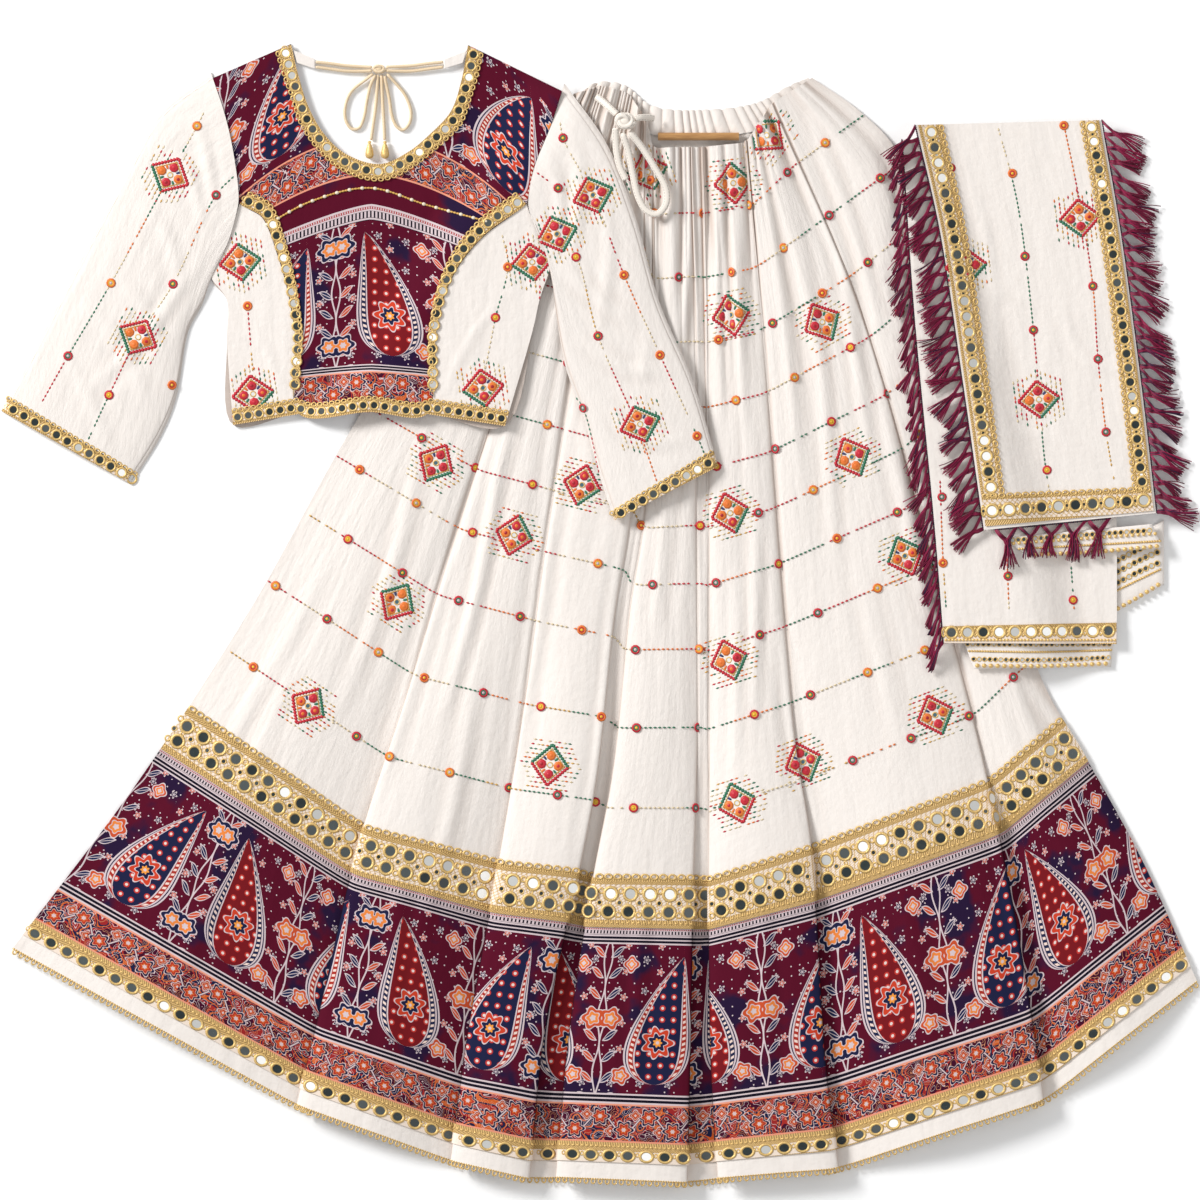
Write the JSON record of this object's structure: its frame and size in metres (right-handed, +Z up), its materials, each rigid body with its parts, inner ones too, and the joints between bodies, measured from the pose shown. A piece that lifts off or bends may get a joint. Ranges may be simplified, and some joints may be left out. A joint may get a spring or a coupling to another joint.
{
  "type": "lehenga choli set laid flat, with a skirt, a blouse and a folded stole, and a plain bar in the skirt's waist",
  "caption": "Gathered long skirt, cropped blouse with princess seams and neck ties, and a folded fringed stole, laid flat with mirror-lace trims and a printed border",
  "frame": {"origin": "middle of the whole layout's box, on the surface it lies on", "axes": "+Z up from that surface, +Y towards the skirt's waist, +X towards the stole"},
  "size_m": [1.1977, 1.138, 0.0275],
  "materials": {
    "white_cloth": "soft cotton satin, warm off-white, lightly creased",
    "printed_cloth": "matt printed cotton, maroon and navy with pale outlines",
    "mirror_lace": "gold thread lace set with small round mirrors",
    "neck_cord": "twisted beige cord",
    "drawstring_tape": "cream cotton tube",
    "fringe_thread": "maroon twisted thread",
    "waist_wood": "plain pale wood"
  },
  "bodies": {
    "root": {"choli_back": "white_cloth", "choli_cuff_lace_left": "mirror_lace", "choli_cuff_lace_right": "mirror_lace", "choli_front_centre": "printed_cloth", "choli_hem_lace": "mirror_lace", "choli_neck_lace": "mirror_lace", "choli_princess_lace_left": "mirror_lace", "choli_princess_lace_right": "mirror_lace", "choli_side_left": "white_cloth", "choli_side_right": "white_cloth", "choli_sleeve_left": "white_cloth", "choli_sleeve_right": "white_cloth", "drawstring_knot": "drawstring_tape", "drawstring_left_end": "drawstring_tape", "drawstring_loop": "drawstring_tape", "drawstring_right_end": "drawstring_tape", "drawstring_tail": "drawstring_tape", "dupatta_fringe_end": "fringe_thread", "dupatta_fringe_left": "fringe_thread", "dupatta_fringe_right": "fringe_thread", "dupatta_fringe_under": "fringe_thread", "dupatta_hidden_layers": "white_cloth", "dupatta_middle_lace": "mirror_lace", "dupatta_middle_layer": "white_cloth", "dupatta_right_fold": "white_cloth", "dupatta_top_lace_bottom": "mirror_lace", "dupatta_top_lace_left": "mirror_lace", "dupatta_top_lace_right": "mirror_lace", "dupatta_top_layer": "white_cloth", "dupatta_under_fold": "white_cloth", "dupatta_upper_fold": "white_cloth", "neck_tie_knot": "neck_cord", "neck_tie_left_loop": "neck_cord", "neck_tie_left_lower": "neck_cord", "neck_tie_left_tail": "neck_cord", "neck_tie_left_upper": "neck_cord", "neck_tie_right_loop": "neck_cord", "neck_tie_right_lower": "neck_cord", "neck_tie_right_tail": "neck_cord", "neck_tie_right_upper": "neck_cord", "neck_tie_tab_left": "white_cloth", "neck_tie_tab_right": "white_cloth", "neck_tie_tassel_left": "mirror_lace", "neck_tie_tassel_right": "mirror_lace", "skirt_back_panel": "white_cloth", "skirt_border_back": "printed_cloth", "skirt_border_front": "printed_cloth", "skirt_casing_back": "white_cloth", "skirt_casing_front": "white_cloth", "skirt_front_panel": "white_cloth", "skirt_hem_band_back": "white_cloth", "skirt_hem_band_front": "white_cloth", "skirt_lower_lace_back": "mirror_lace", "skirt_lower_lace_front": "mirror_lace", "skirt_upper_lace_back": "mirror_lace", "skirt_upper_lace_front": "mirror_lace", "waist_bar": "waist_wood"}
  },
  "joints": []
}
